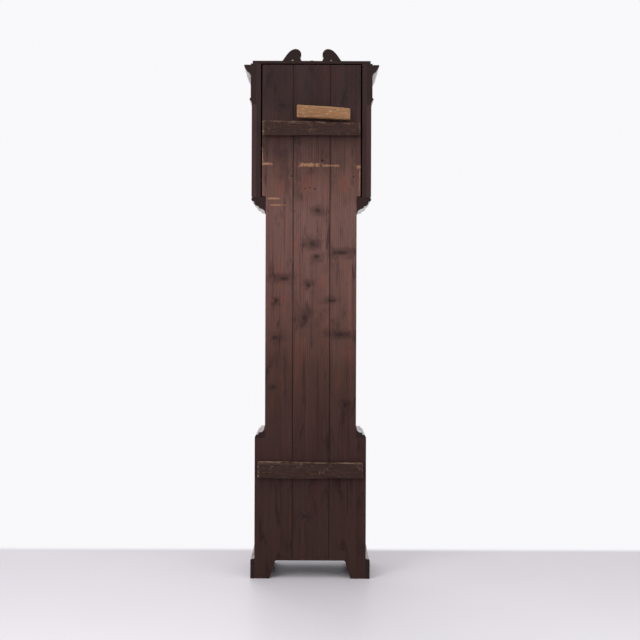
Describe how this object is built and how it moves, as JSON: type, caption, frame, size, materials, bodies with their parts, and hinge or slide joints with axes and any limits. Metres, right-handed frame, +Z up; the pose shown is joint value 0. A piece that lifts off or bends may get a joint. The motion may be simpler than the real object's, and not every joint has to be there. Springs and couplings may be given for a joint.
{
  "type": "tall case clock",
  "caption": "Weight driven tall case clock with a sliding hood, swan neck pediment, panelled back boards, trunk door, striking movement and seconds pendulum.",
  "frame": {"origin": "on the floor, at the middle of the object's width and depth", "axes": "+Z up, -Y out of the dial, +Y out of the backboards, +X to the right as the dial is read"},
  "size_m": [0.543, 0.3096, 2.19],
  "materials": {
    "old_boards": "unpolished, stained by age",
    "polished_case": "polished",
    "pale_block": "raw sawn",
    "brass": "dulled",
    "bell_metal": "turned",
    "painted_dial": "satin paint",
    "gut": "smooth cord",
    "glass": "clear",
    "lock_steel": "worn",
    "train_steel": "polished",
    "bob_iron": "turned, brass faced",
    "hand_steel": "blued",
    "weight_iron": "as cast"
  },
  "bodies": {
    "case": {"backboard_right": "old_boards", "backboard_centre": "old_boards", "backboard_left": "old_boards", "backboard_ears": "old_boards", "upper_batten": "old_boards", "lower_batten": "old_boards", "wall_block": "pale_block", "trunk_sides": "polished_case", "trunk_front_frame": "polished_case", "throat_moulding": "polished_case", "base_sides": "polished_case", "base_front": "polished_case", "base_moulding": "polished_case", "bracket_feet": "polished_case", "seatboard": "old_boards", "trunk_hinges": "brass", "movement_frame": "brass", "dial_plate": "painted_dial", "bell": "bell_metal", "gut_lines": "gut"},
    "hood": {"hood_sides": "polished_case", "hood_sill": "polished_case", "hood_frieze": "polished_case", "hood_cornice": "polished_case", "hood_top_board": "polished_case", "swan_necks": "polished_case", "pediment_rosettes": "brass", "finial_plinth": "polished_case", "hood_columns": "polished_case", "dial_mask": "old_boards"},
    "hood_door": {"hood_door_frame": "polished_case", "hood_door_glass": "glass", "hood_door_fittings": "brass"},
    "trunk_door": {"trunk_door": "polished_case", "door_hinge_leaves": "brass", "door_lock": "lock_steel"},
    "lock_bolt": {"lock_bolt": "lock_steel"},
    "door_key": {"door_key": "lock_steel"},
    "pendulum": {"pallet_anchor": "train_steel", "pendulum_rod": "train_steel", "pendulum_bob": "bob_iron"},
    "going_great_wheel": {"going_great_wheel": "brass"},
    "going_barrel": {"going_barrel": "brass"},
    "centre_wheel": {"centre_wheel": "brass", "minute_hand": "hand_steel"},
    "third_wheel": {"third_wheel": "brass"},
    "escape_wheel": {"escape_wheel": "brass"},
    "minute_wheel": {"minute_wheel": "brass"},
    "hour_wheel": {"hour_hand": "hand_steel"},
    "strike_great_wheel": {"strike_great_wheel": "brass"},
    "strike_barrel": {"strike_barrel": "brass"},
    "pin_wheel": {"pin_wheel": "brass"},
    "gathering_wheel": {"gathering_wheel": "brass"},
    "warning_wheel": {"warning_wheel": "brass"},
    "strike_fly": {"strike_fly": "brass"},
    "strike_hammer": {"strike_hammer": "train_steel"},
    "going_weight": {"going_weight": "weight_iron"},
    "strike_weight": {"strike_weight": "weight_iron"},
    "going_pulley": {"going_pulley": "brass"},
    "strike_pulley": {"strike_pulley": "brass"}
  },
  "joints": [
    {"name": "hood_slide", "type": "slide", "parent": "case", "child": "hood", "axis": [0, -1, 0], "range_m": [0, 0.32]},
    {"name": "hood_door_swing", "type": "hinge", "parent": "hood", "child": "hood_door", "pos_m": [0.2035, -0.09525, 1.72025], "axis": [0, 0, 1], "range_deg": [0, 100]},
    {"name": "trunk_door_swing", "type": "hinge", "parent": "case", "child": "trunk_door", "pos_m": [0.1117, -0.07665, 1.041], "axis": [0, 0, 1], "range_deg": [0, 105]},
    {"name": "key_turn", "type": "hinge", "parent": "trunk_door", "child": "door_key", "pos_m": [-0.074, -0.07925, 1.042], "axis": [0, 1, 0], "range_deg": [0, 180]},
    {"name": "bolt_throw", "type": "slide", "parent": "trunk_door", "child": "lock_bolt", "axis": [-1, 0, 0], "range_m": [0, 0.0091]},
    {"name": "pendulum_swing", "type": "hinge", "parent": "case", "child": "pendulum", "pos_m": [0, 0.05275, 1.79465], "axis": [0, 1, 0], "range_deg": [-3, 3]},
    {"name": "escape_turn", "type": "hinge", "parent": "case", "child": "escape_wheel", "pos_m": [0, 0.00275, 1.76725], "axis": [0, 1, 0], "continuous": true},
    {"name": "third_turn", "type": "hinge", "parent": "case", "child": "third_wheel", "pos_m": [0.00833, 0.00275, 1.74514], "axis": [0, 1, 0], "continuous": true},
    {"name": "centre_turn", "type": "hinge", "parent": "case", "child": "centre_wheel", "pos_m": [0, 0.00275, 1.71925], "axis": [0, 1, 0], "continuous": true},
    {"name": "going_great_turn", "type": "hinge", "parent": "case", "child": "going_great_wheel", "pos_m": [0.04018, 0.00275, 1.70848], "axis": [0, 1, 0], "continuous": true},
    {"name": "minute_wheel_turn", "type": "hinge", "parent": "case", "child": "minute_wheel", "pos_m": [-0.018, 0.00275, 1.68807], "axis": [0, 1, 0], "continuous": true},
    {"name": "hour_turn", "type": "hinge", "parent": "case", "child": "hour_wheel", "pos_m": [0, 0.00275, 1.71925], "axis": [0, 1, 0], "continuous": true},
    {"name": "fly_turn", "type": "hinge", "parent": "case", "child": "strike_fly", "pos_m": [-0.04367, 0.00275, 1.79641], "axis": [0, 1, 0], "continuous": true},
    {"name": "warning_turn", "type": "hinge", "parent": "case", "child": "warning_wheel", "pos_m": [-0.02845, 0.00275, 1.79086], "axis": [0, 1, 0], "continuous": true},
    {"name": "gathering_turn", "type": "hinge", "parent": "case", "child": "gathering_wheel", "pos_m": [-0.03352, 0.00275, 1.77193], "axis": [0, 1, 0], "continuous": true},
    {"name": "pin_wheel_turn", "type": "hinge", "parent": "case", "child": "pin_wheel", "pos_m": [-0.02942, 0.00275, 1.74867], "axis": [0, 1, 0], "continuous": true},
    {"name": "strike_great_turn", "type": "hinge", "parent": "case", "child": "strike_great_wheel", "pos_m": [-0.04018, 0.00275, 1.70848], "axis": [0, 1, 0], "continuous": true},
    {"name": "hammer_lift", "type": "hinge", "parent": "case", "child": "strike_hammer", "pos_m": [-0.058, 0.01575, 1.74925], "axis": [0, 1, 0], "range_deg": [-6, 0], "stiffness_Nm_per_rad": 0.03, "springref_deg": 2.86},
    {"name": "going_weight_drop", "type": "slide", "parent": "case", "child": "going_weight", "axis": [0, 0, 1], "range_m": [-0.92, 0.17], "deforming": ["gut_lines"]},
    {"name": "strike_weight_drop", "type": "slide", "parent": "case", "child": "strike_weight", "axis": [0, 0, 1], "range_m": [-0.92, 0.17], "deforming": ["gut_lines"]},
    {"name": "going_barrel_turn", "type": "hinge", "parent": "case", "child": "going_barrel", "pos_m": [0.04018, 0.00275, 1.70848], "axis": [0, 1, 0], "range_deg": [-778, 4202]},
    {"name": "strike_barrel_turn", "type": "hinge", "parent": "case", "child": "strike_barrel", "pos_m": [-0.04018, 0.00275, 1.70848], "axis": [0, 1, 0], "range_deg": [-4202, 778]},
    {"name": "going_pulley_turn", "type": "hinge", "parent": "going_weight", "child": "going_pulley", "pos_m": [0.04028, -0.00565, 1.29925], "axis": [0, 1, 0], "range_deg": [-391, 2110]},
    {"name": "strike_pulley_turn", "type": "hinge", "parent": "strike_weight", "child": "strike_pulley", "pos_m": [-0.04028, -0.00565, 1.29925], "axis": [0, 1, 0], "range_deg": [-2110, 391]}
  ],
  "couplings": [
    {"joint": "bolt_throw", "follows": "key_turn", "m_per_rad": 0.0028648},
    {"joint": "third_turn", "follows": "escape_turn", "ratio": -0.125},
    {"joint": "centre_turn", "follows": "escape_turn", "ratio": 0.016667},
    {"joint": "going_great_turn", "follows": "escape_turn", "ratio": -0.0013889},
    {"joint": "minute_wheel_turn", "follows": "escape_turn", "ratio": -0.016667},
    {"joint": "hour_turn", "follows": "escape_turn", "ratio": 0.0013889},
    {"joint": "warning_turn", "follows": "fly_turn", "ratio": -0.125},
    {"joint": "gathering_turn", "follows": "fly_turn", "ratio": 0.017857},
    {"joint": "pin_wheel_turn", "follows": "fly_turn", "ratio": -0.0022321},
    {"joint": "strike_great_turn", "follows": "fly_turn", "ratio": 0.00018601},
    {"joint": "going_barrel_turn", "follows": "going_weight_drop", "rad_per_m": -79.681},
    {"joint": "going_pulley_turn", "follows": "going_weight_drop", "rad_per_m": -40},
    {"joint": "strike_barrel_turn", "follows": "strike_weight_drop", "rad_per_m": 79.681},
    {"joint": "strike_pulley_turn", "follows": "strike_weight_drop", "rad_per_m": 40}
  ]
}
